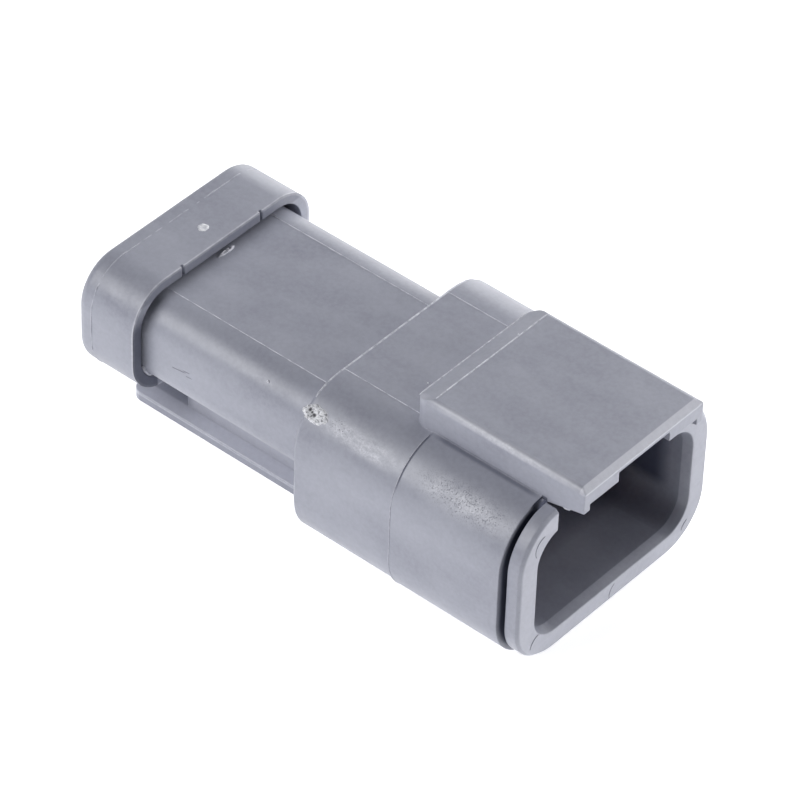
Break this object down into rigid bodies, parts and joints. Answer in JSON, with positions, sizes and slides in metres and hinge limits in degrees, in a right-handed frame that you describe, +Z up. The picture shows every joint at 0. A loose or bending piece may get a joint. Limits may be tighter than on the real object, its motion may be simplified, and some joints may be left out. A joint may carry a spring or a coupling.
{
  "type": "sealed automotive connector",
  "caption": "Sealed inline automotive connector receptacle with pin contacts, a rear seal cap, a secondary lock, a latch bridge and a clip rail.",
  "frame": {"origin": "on the surface the connector rests on, below the middle of its length", "axes": "+X towards the mating end, +Z up towards the latch bridge, +Y across"},
  "size_m": [0.0472, 0.023, 0.0174],
  "materials": {
    "housing_plastic": "satin moulded grey",
    "cap_plastic": "satin moulded grey",
    "seal_silicone": "matt orange-red silicone",
    "lock_plastic": "satin orange",
    "contact_metal": "nickel plated, turned"
  },
  "bodies": {
    "shell": {"housing": "housing_plastic", "rear_cap": "cap_plastic", "wire_seal": "seal_silicone", "pin_contact_1": "contact_metal", "pin_contact_2": "contact_metal", "pin_contact_3": "contact_metal"},
    "lock": {"wedgelock": "lock_plastic"}
  },
  "joints": [
    {"name": "lock_slide", "type": "slide", "parent": "shell", "child": "lock", "axis": [1, 0, 0], "range_m": [0, 0.031]}
  ]
}
